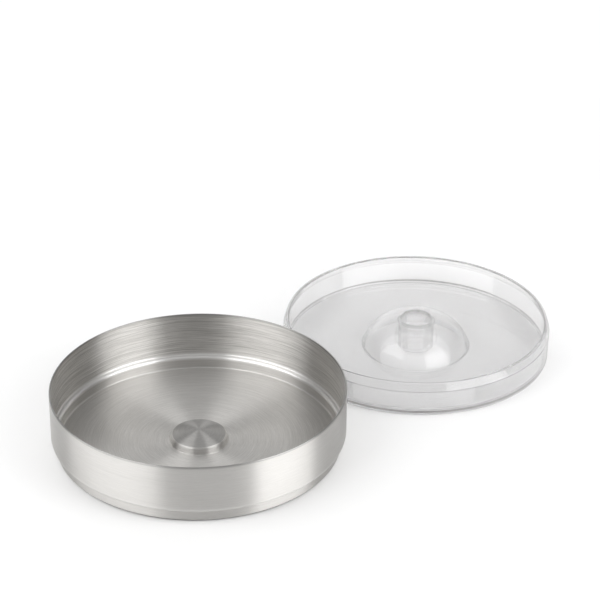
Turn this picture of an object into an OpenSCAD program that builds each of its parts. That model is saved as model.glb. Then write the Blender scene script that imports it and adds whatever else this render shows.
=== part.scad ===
/* [Dish] */
// Outside diameter of the dish at its rim
dish_d = 146; // [136:1:160]
// Height of the dish from the table to its rim
dish_h = 31.6; // [26:0.2:38]
// Thickness of the pressed steel sheet
sheet_t = 0.8; // [0.6:0.1:1]
// How far the lower wall is set in from the upper wall
step_in = 2.4; // [2.2:0.1:3.2]
// Height of the step's underside above the table
step_z = 6.6; // [5.6:0.2:9]
// Radius of the two bends of the step, at the middle of the sheet
bend_r = 1; // [0.7:0.1:1]
// Radius of the bend between floor and wall, at the middle of the sheet
foot_r = 1.2; // [0.9:0.1:2]

/* [Boss in the dish] */
// Diameter of the raised boss across its shoulder
boss_d = 27; // [20:1:36]
// Height of the boss's crown above the table
boss_h = 6.5; // [6:0.1:7.5]
// Drop from the crown of the boss to its shoulder
boss_drop = 2.1; // [1.2:0.1:2.4]

/* [Tray] */
// Outside diameter of the tray at its shoulder line, its widest place
tray_d = 141; // [136:0.5:142]
// Height of the tray from the table to its rim
tray_h = 18; // [16:0.2:22]
// Thickness of the tray's floor
floor_t = 2; // [1.6:0.1:2.4]
// Thickness of the tray's wall and dome
wall_t = 1.9; // [1.6:0.1:2.2]
// Height of the collar that leans in at the top of the wall
collar_h = 4; // [3:0.2:5]
// How far the collar leans in
collar_in = 1.4; // [0.8:0.1:2.4]
// Draft of the wall below the collar, from top to bottom
draft = 0.3; // [0:0.1:0.6]

/* [Dome of the tray] */
// Radius of the dome's rounded side
dome_r = 21.7; // [20:0.1:23]
// Bore of the finger hole through the dome
hole_d = 15.8; // [14:0.2:18]
// Wall of the tube that goes down from the finger hole
tube_t = 1.4; // [1.2:0.1:1.8]
// Height of the tube's lower end above the table
tube_z = 1; // [0.4:0.2:4]
// Height of the dome's crest, below the tray's rim
crest_drop = 0.5; // [0:0.1:2]

/* [Layout] */
// Gap between the dish and the tray that stands beside it
gap = 3; // [2:0.5:20]
// Direction from the dish to the tray, seen from above
tray_dir = 40.5; // [0:0.5:90]

/* [Hidden] */
// steps along each bend of a profile, and round each turned piece
arc_n = 8;
turn_n = 180;

// dish, at the middle of the sheet
h = sheet_t / 2;
wall_rc = dish_d / 2 - h;
low_rc = wall_rc - step_in;
step_zc = step_z + h;

// boss, at the middle of the sheet: crown, shoulder, slope and foot fillet
shoulder_r = 1;
fillet_r = 1;
slope = 72;
crown_w = boss_d / 2 - 0.7;
crown_r = (crown_w * crown_w + boss_drop * boss_drop) / (2 * boss_drop);
crown_z = boss_h - h - crown_r;
crown_a = asin(crown_w / crown_r);
sh_c = [(crown_r - shoulder_r) * sin(crown_a), crown_z + (crown_r - shoulder_r) * cos(crown_a)];
sh_end = sh_c + shoulder_r * [sin(slope), cos(slope)];
run_z = sh_end[1] - (h + fillet_r * (1 - cos(slope)));
fil_c = [sh_end[0] + run_z / tan(slope) + fillet_r * sin(slope), h + fillet_r];

// tray
tr = tray_d / 2;
collar_z = tray_h - collar_h;
bot_r = tr - draft;
lip_r = 0.7;
dome_c = [hole_d / 2 - 0.3, tray_h - crest_drop - dome_r];
edge_r = 1;
tube_r = hole_d / 2 + tube_t;
dome_in = dome_r - wall_t;
tray_pos = [(dish_d + tray_d) / 2 + gap, 0];

// points of an arc: each is [r, z, direction of the normal on its left]
function arc(c, r, a0, a1, n = arc_n) =
    [for (i = [0:n]) let (a = a0 + (a1 - a0) * i / n) [c[0] + r * cos(a), c[1] + r * sin(a), (a1 > a0) ? a + 180 : a]];
function flat2(p) = [for (q = p) [q[0], q[1]]];

// middle line of the dish's sheet, from its axis out and up to the rim
sheet = concat(
    arc([0, crown_z], crown_r, 90, 90 - crown_a, 12),
    arc(sh_c, shoulder_r, 90 - crown_a, 90 - slope),
    arc(fil_c, fillet_r, 270 - slope, 270),
    arc([low_rc - foot_r, h + foot_r], foot_r, -90, 0),
    arc([low_rc + bend_r, step_zc - bend_r], bend_r, 180, 90),
    arc([wall_rc - bend_r, step_zc + bend_r], bend_r, -90, 0),
    [[wall_rc, dish_h - h, 180]]
);
// one side of the sheet, s = 1 for the inside and -1 for the outside
function side(s) = [for (q = sheet) [max(0, q[0] + s * h * cos(q[2])), q[1] + s * h * sin(q[2])]];
function back(p) = [for (i = [len(p) - 1:-1:0]) p[i]];

// the rim is rounded over the sheet's thickness
rim_edge = [for (i = [1:arc_n - 1]) [wall_rc, dish_h - h] + h * [cos(180 - 180 * i / arc_n), sin(180 * i / arc_n)]];

module dish() {
    color([0.78, 0.78, 0.77])
    rotate_extrude($fn = turn_n)
    polygon(concat(side(1), rim_edge, back(side(-1))));
}

// where the dome's outside meets the floor's fillet, and the fillet's centre
foot_f = 1.6;
df_z = floor_t + foot_f;
df_r = dome_c[0] + sqrt(pow(dome_r + foot_f, 2) - pow(df_z - dome_c[1], 2));
df_a = atan2(df_z - dome_c[1], df_r - dome_c[0]);
// where the dome's outside meets the rounded edge of the finger hole
eg_r = hole_d / 2 + edge_r;
eg_z = dome_c[1] + sqrt(pow(dome_r - edge_r, 2) - pow(eg_r - dome_c[0], 2));
eg_a = atan2(eg_z - dome_c[1], eg_r - dome_c[0]);
// fillet between the tube and the dome's inside
tf = 0.8;
tf_r = tube_r + tf;
tf_z = dome_c[1] + sqrt(pow(dome_in - tf, 2) - pow(tf_r - dome_c[0], 2));
tf_a = atan2(tf_z - dome_c[1], tf_r - dome_c[0]);
// lower end of the dome's inside, at the table
di_r = dome_c[0] + sqrt(dome_in * dome_in - dome_c[1] * dome_c[1]);
di_a = atan2(-dome_c[1], di_r - dome_c[0]);
// inside of the wall: fillet to the floor, wall, collar
in_b = bot_r - wall_t;
in_t = tr - wall_t;
wall_f = 1.6;
rim_o = tr - collar_in;

tray_outline = concat(
    // underside and outer corner
    [[di_r, 0]],
    flat2(arc([bot_r - lip_r, lip_r], lip_r, -90, 0)),
    // wall, shoulder line and collar
    [[tr, collar_z - 0.25], [tr - 0.1, collar_z], [tr - 0.4, collar_z + 0.15]],
    flat2(arc([rim_o - 0.6, tray_h - 0.6], 0.6, 10, 90, 6)),
    flat2(arc([rim_o - wall_t + 0.6, tray_h - 0.6], 0.6, 90, 190, 6)),
    // inside of the collar and of the wall
    [[in_t, collar_z - 1.1]],
    flat2(arc([in_b - wall_f, floor_t + wall_f], wall_f, 0, -90)),
    // floor, fillet and dome
    flat2(arc([df_r, df_z], foot_f, -90, df_a - 180)),
    flat2(arc(dome_c, dome_r, df_a, eg_a, 16)),
    // rounded edge of the finger hole, bore and tube
    flat2(arc([eg_r, eg_z], edge_r, eg_a, 180)),
    [[hole_d / 2, tube_z], [tube_r, tube_z]],
    // inside of the dome, down to the table
    flat2(arc([tf_r, tf_z], tf, 180, tf_a)),
    flat2(arc(dome_c, dome_in, tf_a, di_a, 14))
);

module tray() {
    color([0.88, 0.9, 0.88, 0.45])
    rotate([0, 0, tray_dir]) translate([tray_pos[0], 0, 0])
    rotate_extrude($fn = turn_n)
    polygon(tray_outline);
}

dish();
tray();
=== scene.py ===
"""Looks of a two-piece rimming set: a pressed, brushed steel dish and a clear moulded tray."""

import math  # noqa: E402

import bpy  # noqa: E402
from mathutils import Matrix, Vector  # noqa: E402


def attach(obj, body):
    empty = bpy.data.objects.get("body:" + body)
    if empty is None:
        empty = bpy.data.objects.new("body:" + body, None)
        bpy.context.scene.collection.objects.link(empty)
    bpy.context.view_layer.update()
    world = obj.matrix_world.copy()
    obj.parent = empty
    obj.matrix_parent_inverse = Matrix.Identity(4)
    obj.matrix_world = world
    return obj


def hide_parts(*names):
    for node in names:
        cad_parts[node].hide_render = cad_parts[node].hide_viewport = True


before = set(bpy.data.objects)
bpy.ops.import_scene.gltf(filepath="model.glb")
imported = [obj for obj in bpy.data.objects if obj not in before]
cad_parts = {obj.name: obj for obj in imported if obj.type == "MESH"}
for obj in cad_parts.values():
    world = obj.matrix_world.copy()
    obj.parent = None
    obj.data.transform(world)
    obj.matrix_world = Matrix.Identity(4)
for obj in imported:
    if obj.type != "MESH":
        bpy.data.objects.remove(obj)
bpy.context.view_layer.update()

MM = 0.001
SEG = 240  # steps round each turned piece


# ---------------------------------------------------------------- profiles
# A profile is a list of (r, z, nr, nz) in millimetres: a point and the outward normal there.
def arc(c, r, a0, a1, n, out=1):
    """Points of an arc; out = 1 when the material is on the inside of the arc."""
    pts = []
    for i in range(n + 1):
        a = math.radians(a0 + (a1 - a0) * i / n)
        pts.append((c[0] + r * math.cos(a), c[1] + r * math.sin(a), out * math.cos(a), out * math.sin(a)))
    return pts


def corner(prev, here, nxt, r, n):
    """A rounded corner between two straight runs, walked with the material on the left."""
    a = (here[0] - prev[0], here[1] - prev[1])
    b = (nxt[0] - here[0], nxt[1] - here[1])
    la, lb = math.hypot(*a), math.hypot(*b)
    a, b = (a[0] / la, a[1] / la), (b[0] / lb, b[1] / lb)
    na, nb = (a[1], -a[0]), (b[1], -b[0])
    turn = math.atan2(a[0] * b[1] - a[1] * b[0], a[0] * b[0] + a[1] * b[1])
    cut = r * math.tan(abs(turn) / 2)
    s = 1 if turn > 0 else -1
    c = (here[0] - a[0] * cut - s * na[0] * r, here[1] - a[1] * cut - s * na[1] * r)
    pts = []
    for i in range(n + 1):
        t = turn * i / n
        ca, sa = math.cos(t), math.sin(t)
        nn = (na[0] * ca - na[1] * sa, na[0] * sa + na[1] * ca)
        pts.append((c[0] + s * nn[0] * r, c[1] + s * nn[1] * r, nn[0], nn[1]))
    return pts


# dish: the middle line of the sheet, offset to both sides
D, H, T = 146.0, 31.6, 0.8
h = T / 2
WALL = D / 2 - h
LOW = WALL - 2.4
STEP = 6.6 + h
BEND, FOOT = 1.0, 1.2
crown_w, drop, boss_h = 27 / 2 - 0.7, 2.1, 6.5
crown_r = (crown_w**2 + drop**2) / (2 * drop)
crown_z = boss_h - h - crown_r
crown_a = math.degrees(math.asin(crown_w / crown_r))
slope = 72.0
ca, sa = math.cos(math.radians(crown_a)), math.sin(math.radians(crown_a))
sh_c = ((crown_r - 1) * sa, crown_z + (crown_r - 1) * ca)
cs, sn = math.cos(math.radians(slope)), math.sin(math.radians(slope))
sh_end = (sh_c[0] + sn, sh_c[1] + cs)
run_z = sh_end[1] - (h + (1 - cs))
fil_c = (sh_end[0] + run_z / math.tan(math.radians(slope)) + sn, h + 1)


def sheet():
    """(r, z, nr, nz) with the normal on the inner, upper side of the sheet."""
    pts = []
    pts += arc((0, crown_z), crown_r, 90, 90 - crown_a, 40, 1)
    pts += arc(sh_c, 1.0, 90 - crown_a, 90 - slope, 16, 1)[1:]
    pts += arc(fil_c, 1.0, 270 - slope, 270, 16, -1)
    r0, r1 = fil_c[0], LOW - FOOT
    pts += [(r0 + (r1 - r0) * i / 40, h, 0, 1) for i in range(1, 40)]
    pts += arc((LOW - FOOT, h + FOOT), FOOT, -90, 0, 18, -1)
    z0, z1 = h + FOOT, STEP - BEND
    pts += [(LOW, z0 + (z1 - z0) * i / 6, -1, 0) for i in range(1, 6)]
    pts += arc((LOW + BEND, STEP - BEND), BEND, 180, 90, 18, 1)
    pts += arc((WALL - BEND, STEP + BEND), BEND, -90, 0, 18, -1)
    z0, z1 = STEP + BEND, H - h
    pts += [(WALL, z0 + (z1 - z0) * i / 24, -1, 0) for i in range(1, 25)]
    return pts


def dish_profile():
    """The outline, and for each of its points how polished (its colour lightened as a painted highlight),
    streaked and wavy the steel is, and how much painted shade darkens it.
    """
    mid = sheet()
    inner = [(max(0.0, r + h * nr), z + h * nz, nr, nz) for r, z, nr, nz in mid]
    outer = [(max(0.0, r - h * nr), z - h * nz, -nr, -nz) for r, z, nr, nz in mid]
    edge = arc((WALL, H - h), h, 180, 0, 14, 1)[1:-1]
    pts = inner + edge + outer[::-1]
    polish_and_highlight, streak, wave, painted_shade = [], [], [], []
    for i, (r, z, nr, nz) in enumerate(pts):
        inside = i < len(inner)
        bend = 1.0 if (STEP - BEND - 0.2 < z < STEP + BEND + 0.2 and r > LOW - 1) else 0.0
        rim = 1.0 if z > H - 0.5 else 0.0
        # the step's bends and the rim are polished smoother, and also get a painted highlight: a lighter colour
        polish_and_highlight.append(max(bend * (1.0 if inside else 0.3), rim * 0.2))
        if inside:
            streak.append(1.0 if z > STEP + BEND else (0.35 if r < 16 else 0.3))
            wave.append(1.0 if z > STEP + BEND else 0.16)
            # painted shade: the boss top and the rim are darkened
            painted_shade.append(0.45 if r < 13.2 and z > 3 else rim * 0.5)
        else:
            streak.append(0.12 if r > LOW - 2 else 0.35)
            wave.append(0.4 if r > LOW - 2 else 0.16)
            # painted shade: the foot bend where it meets the ground, and the rim, are darkened
            painted_shade.append(0.55 if r > LOW - FOOT and z < FOOT * 0.75 else rim * 0.5)
    return pts, {"polish_and_highlight": polish_and_highlight, "streak": streak, "wave": wave, "painted_shade": painted_shade}


# tray: a closed outline
TR, TH, FL, TW = 70.5, 18.0, 2.0, 1.9
HOLE, TUBE = 7.9, 9.3
DOME_R, DOME_IN = 21.7, 19.8
dome_c = (7.6, TH - 0.5 - DOME_R)
rim_o = TR - 1.4
bot = TR - 0.3


def tray_profile():
    foot_f, edge_r, tf = 1.6, 1.0, 0.8
    df_z = FL + foot_f
    df_r = dome_c[0] + math.sqrt((DOME_R + foot_f) ** 2 - (df_z - dome_c[1]) ** 2)
    df_a = math.degrees(math.atan2(df_z - dome_c[1], df_r - dome_c[0]))
    eg_r = HOLE + edge_r
    eg_z = dome_c[1] + math.sqrt((DOME_R - edge_r) ** 2 - (eg_r - dome_c[0]) ** 2)
    eg_a = math.degrees(math.atan2(eg_z - dome_c[1], eg_r - dome_c[0]))
    tf_r = TUBE + tf
    tf_z = dome_c[1] + math.sqrt((DOME_IN - tf) ** 2 - (tf_r - dome_c[0]) ** 2)
    tf_a = math.degrees(math.atan2(tf_z - dome_c[1], tf_r - dome_c[0]))
    di_r = dome_c[0] + math.sqrt(DOME_IN**2 - dome_c[1] ** 2)
    di_a = math.degrees(math.atan2(-dome_c[1], di_r - dome_c[0]))
    # the straight-sided stretch, from the underside round the wall to the floor
    run = [
        (40.0, 0.0, 0, 0),
        (bot, 0.0, 0.7, 12),
        (TR, TH - 4.15, 0.35, 8),
        (rim_o, TH, 0.6, 12),
        (rim_o - TW, TH, 0.6, 12),
        (TR - TW, TH - 5.1, 0.8, 8),
        (bot - TW, FL, 1.6, 16),
        (40.0, FL, 0, 0),
    ]
    pts = []
    # underside, from the dome's lower edge outwards
    lo_a = math.radians(di_a)
    pts.append((di_r + 0.12, 0.0, 0, -1))
    pts += [(di_r + (40 - di_r) * i / 6, 0.0, 0, -1) for i in range(1, 7)]
    pts += [(40 + (bot - 1 - 40) * i / 10, 0.0, 0, -1) for i in range(1, 10)]
    for i in range(1, 7):
        pts += corner(run[i - 1], run[i], run[i + 1], run[i][2], run[i][3])
        if i == 1:
            pts += [(bot + 0.3 * (z / (TH - 4.15)), z, 1, -0.02) for z in (1.2, 1.45, 1.5, 2.1, 2.75, 2.8, 4, 6, 9, 12, 13.2, 13.3)]
        if i == 2:
            # up the collar's outside
            a, b = pts[-1], corner(run[2], run[3], run[4], 0.6, 1)[0]
            for t in (0.06, 0.08, 0.3, 0.6, 0.9, 0.92):
                pts.append((a[0] + (b[0] - a[0]) * t, a[1] + (b[1] - a[1]) * t, b[2], b[3]))
        if i == 4:
            # down the collar's inside
            a, b = pts[-1], corner(run[4], run[5], run[6], 0.8, 1)[0]
            for t in (0.06, 0.08, 0.5, 0.9):
                pts.append((a[0] + (b[0] - a[0]) * t, a[1] + (b[1] - a[1]) * t, b[2], b[3]))
    r1 = pts[-1][0]
    pts += [(r1 + (df_r - r1) * i / 16, FL, 0, 1) for i in range(1, 16)]
    pts += arc((df_r, df_z), foot_f, -90, df_a - 180, 16, -1)
    pts += arc(dome_c, DOME_R, df_a, eg_a, 48, 1)[1:]
    pts += arc((eg_r, eg_z), edge_r, eg_a, 180, 16, 1)[1:]
    # bore, the tube's lower end and the tube's outside
    pts += [(HOLE, eg_z + (1.25 - eg_z) * i / 8, -1, 0) for i in range(1, 8)]
    pts += arc((HOLE + 0.25, 1.25), 0.25, 180, 270, 6, 1)
    pts += arc((TUBE - 0.25, 1.25), 0.25, -90, 0, 6, 1)
    pts += [(TUBE, 1.25 + (tf_z - 1.25) * i / 8, 1, 0) for i in range(1, 8)]
    pts += arc((tf_r, tf_z), tf, 180, tf_a, 12, -1)
    pts += arc(dome_c, DOME_IN, tf_a, di_a, 40, -1)[1:]
    a = math.radians(di_a)
    pts[-1] = (di_r, 0.12, -math.cos(a), -math.sin(a))
    return pts


def tray_marks(pts):
    """For each point of the tray's outline, how much painted shade it gets: a dark line painted where the
    plastic looks darkest.
    side is 1 on the wall and 0 on the floor and the dome."""
    edge, side = [], []
    for r, z, nr, nz in pts:
        e = 0.0
        side.append(1.0 if r > bot - 6 else 0.0)
        # painted dark lines along the rim's top, the shoulder, the hole's edge, the underside's corner and the
        # floor's edge seen through the wall
        if z > TH - 0.35 and rim_o - TW < r < rim_o - 0.55:
            e = 0.9
        if r > TR - 0.35 and abs(z - (TH - 4.15)) < 0.25:
            e = 0.8
        if r < HOLE + 0.55 and z > TH - 2.2:
            e = 0.75
        if r > bot - 0.6 and z < 0.5:
            e = 0.6
        if r > bot - 0.1 and 1.5 <= z <= 2.75:
            e = 1.0
        edge.append(e)
    return {"edge": edge, "side": side}


# ---------------------------------------------------------------- meshes
def lathe(name, prof, centre=(0, 0), marks=None, seg=SEG):
    """Turns a profile about a vertical axis. A profile that ends on the axis closes there.
    marks gives more numbers for each point of the profile, kept on the mesh by name."""
    k = len(prof)
    axis = [p[0] < 1e-6 for p in prof]
    closed = not any(axis)
    # length along the profile, in millimetres
    run, s = [0.0], 0.0
    for i in range(1, k):
        s += math.hypot(prof[i][0] - prof[i - 1][0], prof[i][1] - prof[i - 1][1])
        run.append(s)
    verts, normals, src, index = [], [], [], []
    for j, (r, z, nr, nz) in enumerate(prof):
        ln = math.hypot(nr, nz)
        nr, nz = nr / ln, nz / ln
        if axis[j]:
            index.append([len(verts)] * seg)
            verts.append((centre[0] * MM, centre[1] * MM, z * MM))
            normals.append((0, 0, 1 if nz > 0 else -1))
            src.append(j)
            continue
        row = []
        for i in range(seg):
            a = 2 * math.pi * i / seg
            row.append(len(verts))
            verts.append(((centre[0] + r * math.cos(a)) * MM, (centre[1] + r * math.sin(a)) * MM, z * MM))
            normals.append((nr * math.cos(a), nr * math.sin(a), nz))
            src.append(j)
        index.append(row)
    faces = []
    pairs = [(j, j + 1) for j in range(k - 1)]
    if closed:
        pairs.append((k - 1, 0))
    for j0, j1 in pairs:
        if axis[j0] and axis[j1]:
            continue
        for i in range(seg):
            i2 = (i + 1) % seg
            a, b, c, d = index[j0][i], index[j0][i2], index[j1][i2], index[j1][i]
            f = []
            for v in (a, b, c, d):
                if v not in f:
                    f.append(v)
            if len(f) > 2:
                faces.append(f)
    me = bpy.data.meshes.new(name)
    me.from_pydata(verts, [], faces)
    me.validate()
    # the faces must look outwards
    import bmesh

    bm = bmesh.new()
    bm.from_mesh(me)
    bmesh.ops.recalc_face_normals(bm, faces=bm.faces)
    if bm.calc_volume(signed=True) < 0:
        bmesh.ops.reverse_faces(bm, faces=bm.faces)
    bm.to_mesh(me)
    bm.free()
    for key, vals in dict(marks or {}, along=run).items():
        at = me.attributes.new(key, "FLOAT", "POINT")
        at.data.foreach_set("value", [float(vals[j]) for j in src])
    for p in me.polygons:
        p.use_smooth = True
    me.normals_split_custom_set_from_vertices(normals)
    o = bpy.data.objects.new(name, me)
    bpy.context.scene.collection.objects.link(o)
    return o


TRAY_AT = (146.5 * math.cos(math.radians(40.5)), 146.5 * math.sin(math.radians(40.5)))
outline, marks = dish_profile()
dish = lathe("dish_turned", outline, marks=marks)
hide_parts("dish")
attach(dish, "dish")
outline = tray_profile()
tray = lathe("tray_turned", outline, TRAY_AT, tray_marks(outline))
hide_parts("tray")
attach(tray, "tray")


# ---------------------------------------------------------------- materials
class Nodes:
    def __init__(self, name):
        self.mat = bpy.data.materials.new(name)
        self.mat.use_nodes = True
        self.t = self.mat.node_tree
        self.t.nodes.clear()
        self.out = self.t.nodes.new("ShaderNodeOutputMaterial")

    def new(self, kind, **kw):
        n = self.t.nodes.new(kind)
        for k, v in kw.items():
            if k.startswith("in_"):
                continue
            setattr(n, k, v)
        return n

    def put(self, sock, v):
        if hasattr(v, "is_output"):
            self.t.links.new(v, sock)
        else:
            sock.default_value = v

    def math(self, op, a, b=0.0, c=None, clamp=False):
        n = self.new("ShaderNodeMath", operation=op, use_clamp=clamp)
        self.put(n.inputs[0], a)
        self.put(n.inputs[1], b)
        if c is not None:
            self.put(n.inputs[2], c)
        return n.outputs[0]

    def xyz(self, x, y, z):
        n = self.new("ShaderNodeCombineXYZ")
        for s, v in zip(n.inputs, (x, y, z)):
            self.put(s, v)
        return n.outputs[0]

    def noise(self, vec, scale=1.0, detail=2.0, rough=0.5, dist=0.0):
        n = self.new("ShaderNodeTexNoise")
        self.put(n.inputs["Vector"], vec)
        n.inputs["Scale"].default_value = scale
        n.inputs["Detail"].default_value = detail
        n.inputs["Roughness"].default_value = rough
        n.inputs["Distortion"].default_value = dist
        return n.outputs["Fac"]

    def remap(self, v, a0, a1, b0, b1, smooth=False):
        n = self.new("ShaderNodeMapRange")
        n.interpolation_type = "SMOOTHSTEP" if smooth else "LINEAR"
        self.put(n.inputs[0], v)
        for i, x in enumerate((a0, a1, b0, b1)):
            self.put(n.inputs[i + 1], x)
        return n.outputs[0]


def steel():
    n = Nodes("brushed_steel")
    b = n.new("ShaderNodeBsdfPrincipled")
    n.t.links.new(b.outputs[0], n.out.inputs[0])
    tc = n.new("ShaderNodeTexCoord")
    sep = n.new("ShaderNodeSeparateXYZ")
    n.t.links.new(tc.outputs["Object"], sep.inputs[0])
    x, y, z = sep.outputs
    r = n.math("SQRT", n.math("ADD", n.math("MULTIPLY", x, x), n.math("ADD", n.math("MULTIPLY", y, y), 1e-10)))
    cx, cy = n.math("DIVIDE", x, r), n.math("DIVIDE", y, r)
    s = n.new("ShaderNodeAttribute", attribute_name="along").outputs["Fac"]  # millimetres along the section
    # polished: smoother, and lighter in colour as a painted highlight
    polish_and_highlight = n.new("ShaderNodeAttribute", attribute_name="polish_and_highlight").outputs["Fac"]
    streak = n.new("ShaderNodeAttribute", attribute_name="streak").outputs["Fac"]
    # painted shade on the rim, the boss top and the foot
    painted_shade = n.new("ShaderNodeAttribute", attribute_name="painted_shade").outputs["Fac"]
    # drawn lines: long, 1 to 3 mm apart, and they wander a little as they run round
    wave = n.new("ShaderNodeAttribute", attribute_name="wave").outputs["Fac"]
    wander = n.math("MULTIPLY", n.math("MULTIPLY", n.noise(n.xyz(cx, cy, 0.0), 1.3, 1.0), 5.0), wave)
    s2 = n.math("ADD", s, wander)
    lines = n.noise(n.xyz(n.math("MULTIPLY", cx, 2.6), n.math("MULTIPLY", cy, 2.6), n.math("MULTIPLY", s2, 2.3)), 1.0, 4.0, 0.72)
    # the grain of the brush: short, fine and close together
    grain = n.noise(n.xyz(n.math("MULTIPLY", cx, 14.0), n.math("MULTIPLY", cy, 14.0), n.math("MULTIPLY", s, 7.0)), 1.0, 3.0, 0.7)
    # a few thin bright lines among them
    fine = n.noise(n.xyz(n.math("MULTIPLY", cx, 2.0), n.math("MULTIPLY", cy, 2.0), n.math("MULTIPLY", s2, 3.1)), 1.0, 2.0, 0.6)
    fine0 = n.math("MULTIPLY", n.remap(fine, 0.56, 0.66, 0.0, 1.0), streak)
    # broad, faint patches
    cloud = n.noise(n.xyz(n.math("MULTIPLY", cx, 1.6), n.math("MULTIPLY", cy, 1.6), n.math("MULTIPLY", s, 0.06)), 1.0, 1.0)
    lines0 = n.remap(lines, 0.35, 0.65, -0.5, 0.5)
    grain0 = n.remap(grain, 0.25, 0.75, -0.5, 0.5)
    cloud0 = n.remap(cloud, 0.3, 0.7, -0.5, 0.5)
    dull = n.math("SUBTRACT", 1.0, polish_and_highlight)
    mix = n.math("MULTIPLY", n.math("ADD", n.math("ADD", n.math("MULTIPLY", lines0, streak), n.math("MULTIPLY", fine0, 0.5)), n.math("MULTIPLY", grain0, 0.28)), dull)
    bump = n.new("ShaderNodeBump")
    bump.inputs["Strength"].default_value = 0.1
    bump.inputs["Distance"].default_value = 0.0002
    n.put(bump.inputs["Height"], mix)
    n.t.links.new(bump.outputs[0], b.inputs["Normal"])
    tone = n.math("ADD", n.math("ADD", mix, n.math("MULTIPLY", cloud0, 0.12)), 0.5)
    ramp = n.new("ShaderNodeValToRGB")
    ramp.color_ramp.elements[0].position = 0.0
    ramp.color_ramp.elements[0].color = (0.43, 0.42, 0.404, 1)
    ramp.color_ramp.elements[1].position = 1.0
    ramp.color_ramp.elements[1].color = (0.72, 0.708, 0.688, 1)
    n.put(ramp.inputs[0], tone)
    # the bends of the step are polished, and their colour is lightened there as a painted highlight; the rim,
    # the boss and the foot are darkened with painted shade
    hi = n.new("ShaderNodeMix", data_type="RGBA")
    n.t.links.new(ramp.outputs[0], hi.inputs[6])
    hi.inputs[7].default_value = (0.76, 0.751, 0.74, 1)
    n.put(hi.inputs["Factor"], polish_and_highlight)
    # darkens the colour toward near black as painted shade
    lo = n.new("ShaderNodeMix", data_type="RGBA")
    n.t.links.new(hi.outputs[2], lo.inputs[6])
    lo.inputs[7].default_value = (0.12, 0.118, 0.115, 1)
    n.put(lo.inputs["Factor"], painted_shade)
    n.t.links.new(lo.outputs[2], b.inputs["Base Color"])
    rough = n.math("SUBTRACT", n.remap(mix, -0.5, 0.5, 0.425, 0.375), n.math("MULTIPLY", polish_and_highlight, 0.08))
    n.put(b.inputs["Roughness"], rough)
    b.inputs["Metallic"].default_value = 1.0
    b.inputs["Anisotropic"].default_value = 0.97
    b.inputs["Anisotropic Rotation"].default_value = 0.25
    tan = n.new("ShaderNodeTangent", direction_type="RADIAL", axis="Z")
    n.t.links.new(tan.outputs[0], b.inputs["Tangent"])
    return n.mat


def clear():
    n = Nodes("clear_plastic")
    b = n.new("ShaderNodeBsdfPrincipled")
    n.t.links.new(b.outputs[0], n.out.inputs[0])
    # nearly colourless, with dark grey lines of painted shade along its edges, and the faint uneven shade of a
    # moulding
    edge = n.new("ShaderNodeAttribute", attribute_name="edge").outputs["Fac"]
    side = n.new("ShaderNodeAttribute", attribute_name="side").outputs["Fac"]
    # painted shade: the wall's colour darkens where it turns away, standing in for the shade thick clear
    # plastic shows on a white ground
    lw = n.new("ShaderNodeLayerWeight")
    lw.inputs["Blend"].default_value = 0.5
    turned = n.math("MULTIPLY", n.remap(lw.outputs["Facing"], 0.74, 0.95, 0.0, 1.0), side)
    edge = n.math("MAXIMUM", edge, turned)
    tc = n.new("ShaderNodeTexCoord")
    flow = n.noise(tc.outputs["Object"], 26.0, 1.0)
    # the dark colour here is painted shade
    mx = n.new("ShaderNodeMix", data_type="RGBA")
    mx.inputs[6].default_value = (0.985, 0.982, 0.985, 1)
    mx.inputs[7].default_value = (0.1, 0.088, 0.086, 1)
    n.put(mx.inputs["Factor"], n.math("ADD", edge, n.remap(flow, 0.35, 0.65, 0.0, 0.02), clamp=True))
    n.t.links.new(mx.outputs[2], b.inputs["Base Color"])
    b.inputs["Roughness"].default_value = 0.045
    b.inputs["IOR"].default_value = 1.47
    b.inputs["Transmission Weight"].default_value = 0.96
    b.inputs["Alpha"].default_value = 0.66
    return n.mat


dish.data.materials.append(steel())
tray.data.materials.append(clear())


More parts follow.
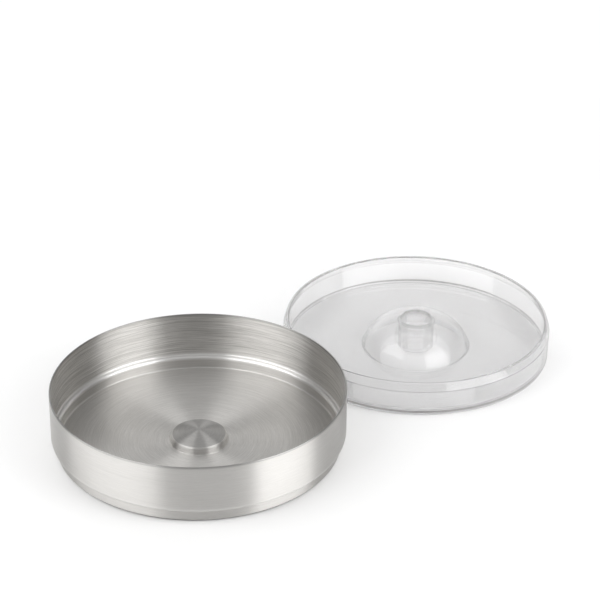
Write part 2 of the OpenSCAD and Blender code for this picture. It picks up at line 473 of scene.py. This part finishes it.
# ---------------------------------------------------------------- stage
def floor():
    me = bpy.data.meshes.new("floor")
    s, z = 6.0, -0.00012
    me.from_pydata([(-s, -s, z), (s, -s, z), (s, s, z), (-s, s, z)], [], [(0, 1, 2, 3)])
    o = bpy.data.objects.new("floor", me)
    bpy.context.scene.collection.objects.link(o)
    n = Nodes("floor_white")
    tc = n.new("ShaderNodeTexCoord")
    sep = n.new("ShaderNodeSeparateXYZ")
    n.t.links.new(tc.outputs["Object"], sep.inputs[0])
    gx, gy = sep.outputs[0], sep.outputs[1]
    # the ground is a shade darker where the side lights are near, so that it comes out evenly white
    d = n.new("ShaderNodeBsdfDiffuse")
    side = n.math("POWER", n.remap(gx, 0.0, 0.19, 0.0, 1.0), 2.0)
    near = n.remap(gy, 0.13, -0.12, 0.0, 0.085)
    near_side = n.math("MULTIPLY", n.remap(gy, 0.15, -0.12, 0.0, 0.14), side)
    shade = n.math("MULTIPLY", n.math("SUBTRACT", 1.0, n.math("ADD", near, near_side)), 0.85)
    n.put(d.inputs[0], n.xyz(shade, shade, shade))
    e = n.new("ShaderNodeEmission")
    e.inputs[0].default_value = (1, 1, 1, 1)
    # and has a little light of its own toward the back and the left
    back = n.math("ADD", n.remap(gy, -0.05, 0.1, 0.0, 0.07), n.remap(gy, 0.08, 0.4, 0.0, 0.225))
    left = n.remap(gx, -0.04, -0.14, 0.02, 0.1)
    n.put(e.inputs[1], n.math("ADD", n.math("ADD", back, left), n.remap(gy, 0.42, 0.7, 0.0, 0.115)))
    add = n.new("ShaderNodeAddShader")
    n.t.links.new(d.outputs[0], add.inputs[0])
    n.t.links.new(e.outputs[0], add.inputs[1])
    # far from the objects the ground is plain white wherever it is looked at, so no light's edge shows on it
    dx, dy = n.math("SUBTRACT", gx, 0.05), n.math("SUBTRACT", gy, 0.06)
    dist = n.math("SQRT", n.math("ADD", n.math("MULTIPLY", dx, dx), n.math("MULTIPLY", dy, dy)))
    ray = n.new("ShaderNodeLightPath")
    seen = n.math("MAXIMUM", ray.outputs["Is Camera Ray"], ray.outputs["Is Transmission Ray"])
    far = n.math("MULTIPLY", n.remap(dist, 0.26, 0.42, 0.0, 1.0, smooth=True), seen)
    white = n.new("ShaderNodeEmission")
    white.inputs[0].default_value = (1, 1, 1, 1)
    white.inputs[1].default_value = 1.02
    ground = n.new("ShaderNodeMixShader")
    n.put(ground.inputs[0], far)
    n.t.links.new(add.outputs[0], ground.inputs[1])
    n.t.links.new(white.outputs[0], ground.inputs[2])
    tr = n.new("ShaderNodeBsdfTransparent")
    geo = n.new("ShaderNodeNewGeometry")
    mx = n.new("ShaderNodeMixShader")
    # under the dish the ground lets reflections through, so that the dish's underside isn't black from below
    close = n.math("LESS_THAN", n.math("ADD", n.math("MULTIPLY", gx, gx), n.math("MULTIPLY", gy, gy)), 0.069**2)
    bounce = n.math("MULTIPLY", ray.outputs["Is Glossy Ray"], n.math("SUBTRACT", 1.0, ray.outputs["Is Transmission Ray"]))
    n.put(mx.inputs[0], n.math("MAXIMUM", geo.outputs["Backfacing"], n.math("MULTIPLY", close, bounce)))
    n.t.links.new(ground.outputs[0], mx.inputs[1])
    n.t.links.new(tr.outputs[0], mx.inputs[2])
    n.t.links.new(mx.outputs[0], n.out.inputs[0])
    me.materials.append(n.mat)
    return o


floor()


def panel(name, a, b, z0, z1, power):
    """An upright soft light between two points on the floor plan, facing the origin side."""
    a, b = Vector((a[0], a[1], 0)) * MM, Vector((b[0], b[1], 0)) * MM
    w = (b - a).length
    hgt = (z1 - z0) * MM
    mid = (a + b) / 2
    mid.z = (z0 + z1) / 2 * MM
    along = (b - a).normalized()
    out = Vector((-along.y, along.x, 0))
    if out.dot(Vector((0.06, 0.04, 0)) - mid) < 0:
        out = -out
    ld = bpy.data.lights.new(name, "AREA")
    ld.shape = "RECTANGLE"
    ld.size, ld.size_y = w, hgt
    ld.energy = power * w * hgt * math.pi  # power is the panel's radiance
    o = bpy.data.objects.new(name, ld)
    zax = -out
    yax = Vector((0, 0, 1))
    xax = yax.cross(zax)
    m = Matrix((xax, yax, zax)).transposed().to_4x4()
    m.translation = mid
    o.matrix_world = m
    bpy.context.scene.collection.objects.link(o)
    o.visible_camera = False
    return o


panel("soft_left", (-166, -381), (-352, 24), 0, 330, 1.7)
panel("soft_left_high", (-180, -350), (-380, 90), 330, 720, 1.75)
panel("soft_right", (262, -310), (440, -30), 0, 320, 3.5)
panel("soft_right_high", (262, -310), (466, 10), 320, 720, 1.7)

# the room: radiance by compass direction near the ground, higher up, and overhead
world = bpy.data.worlds.new("studio")
bpy.context.scene.world = world
world.use_nodes = True
wt = world.node_tree
wt.nodes.clear()
wo = wt.nodes.new("ShaderNodeOutputWorld")
w_cam = wt.nodes.new("ShaderNodeBackground")
w_cam.inputs[0].default_value = (1, 1, 1, 1)
w_cam.inputs[1].default_value = 1.0
w_all = wt.nodes.new("ShaderNodeBackground")
w_all.inputs[1].default_value = 2.0  # the ramps below hold half of each radiance
lp = wt.nodes.new("ShaderNodeLightPath")
wm = wt.nodes.new("ShaderNodeMixShader")
wt.links.new(lp.outputs["Is Camera Ray"], wm.inputs[0])
wt.links.new(w_all.outputs[0], wm.inputs[1])
wt.links.new(w_cam.outputs[0], wm.inputs[2])
wt.links.new(wm.outputs[0], wo.inputs[0])


def w_math(op, a, b=0.0):
    n = wt.nodes.new("ShaderNodeMath")
    n.operation = op
    for sock, v in zip(n.inputs, (a, b)):
        if hasattr(v, "is_output"):
            wt.links.new(v, sock)
        else:
            sock.default_value = v
    return n.outputs[0]


def w_ring(turn, stops):
    """Radiance round the compass; stops are (degrees from -Y toward +X, radiance)."""
    n = wt.nodes.new("ShaderNodeValToRGB")
    el = n.color_ramp.elements
    for i, (deg, v) in enumerate(stops):
        e = el[i] if i < 2 else el.new((deg + 180) / 360)
        e.position = (deg + 180) / 360
        e.color = (v / 2, v / 2, v / 2, 1)
    wt.links.new(turn, n.inputs[0])
    return n.outputs[0]


def w_mix(t, a, b):
    n = wt.nodes.new("ShaderNodeMix")
    n.data_type = "RGBA"
    wt.links.new(t, n.inputs["Factor"])
    wt.links.new(a, n.inputs[6])
    wt.links.new(b, n.inputs[7])
    return n.outputs[2]


wc = wt.nodes.new("ShaderNodeTexCoord")
ws = wt.nodes.new("ShaderNodeSeparateXYZ")
wt.links.new(wc.outputs["Generated"], ws.inputs[0])
az = w_math("ARCTAN2", ws.outputs[0], w_math("MULTIPLY", ws.outputs[1], -1.0))
turn = w_math("ADD", w_math("DIVIDE", az, 2 * math.pi), 0.5)
low = w_ring(turn, [(-180, 1.0), (-165, 1.0), (-140, 0.8), (-122, 0.0), (-98, 0.0), (-75, 1.2), (-45, 1.45), (-28, 0.5), (0, 0.28), (22, 0.4), (45, 0.6), (75, 0.62), (92, 0.1), (108, 0.0), (138, 0.2), (165, 0.9), (180, 1.0)])
mid = w_ring(turn, [(-180, 0.85), (-150, 0.85), (-90, 0.5), (-30, 0.62), (30, 0.48), (90, 0.46), (150, 0.85), (180, 0.85)])
top = w_ring(turn, [(-180, 0.88), (180, 0.88)])
height = w_math("ARCSINE", ws.outputs[2])
t1 = wt.nodes.new("ShaderNodeMapRange")
t2 = wt.nodes.new("ShaderNodeMapRange")
for t, a, b in ((t1, 22, 38), (t2, 50, 68)):
    t.inputs[1].default_value, t.inputs[2].default_value = math.radians(a), math.radians(b)
    wt.links.new(height, t.inputs[0])
wt.links.new(w_mix(t2.outputs[0], w_mix(t1.outputs[0], low, mid), top), w_all.inputs[0])

# ---------------------------------------------------------------- camera
# the camera stands 1.24 m from the point it looks at, 28.9 degrees above it, with a 134 mm lens
PITCH, ROLL, DIST, F = 0.505, 0.007, 1239.21, 2239.23
look = Vector((49.87, 144.50, 0)) * MM
fwd = Vector((0, math.cos(PITCH), -math.sin(PITCH)))
up = Vector((0, math.sin(PITCH), math.cos(PITCH)))
right = Vector((1, 0, 0))
cd = bpy.data.cameras.new("camera")
cam = bpy.data.objects.new("camera", cd)
bpy.context.scene.collection.objects.link(cam)
cd.sensor_width = 36.0
cd.sensor_fit = "HORIZONTAL"
cd.lens = F / 600 * 36.0
cd.clip_start, cd.clip_end = 0.05, 50
# the picture is turned clockwise by ROLL, so the camera is turned the other way
r2 = right * math.cos(ROLL) + up * math.sin(ROLL)
u2 = up * math.cos(ROLL) - right * math.sin(ROLL)
m = Matrix((r2, u2, -fwd)).transposed().to_4x4()
half_pixel = DIST / F / 2 * MM
m.translation = look - fwd * DIST * MM + (u2 - r2) * half_pixel
cam.matrix_world = m
bpy.context.scene.camera = cam

sc = bpy.context.scene
sc.view_settings.view_transform = "Standard"
sc.view_settings.look = "None"
sc.view_settings.exposure = 0.0
sc.view_settings.gamma = 1.0
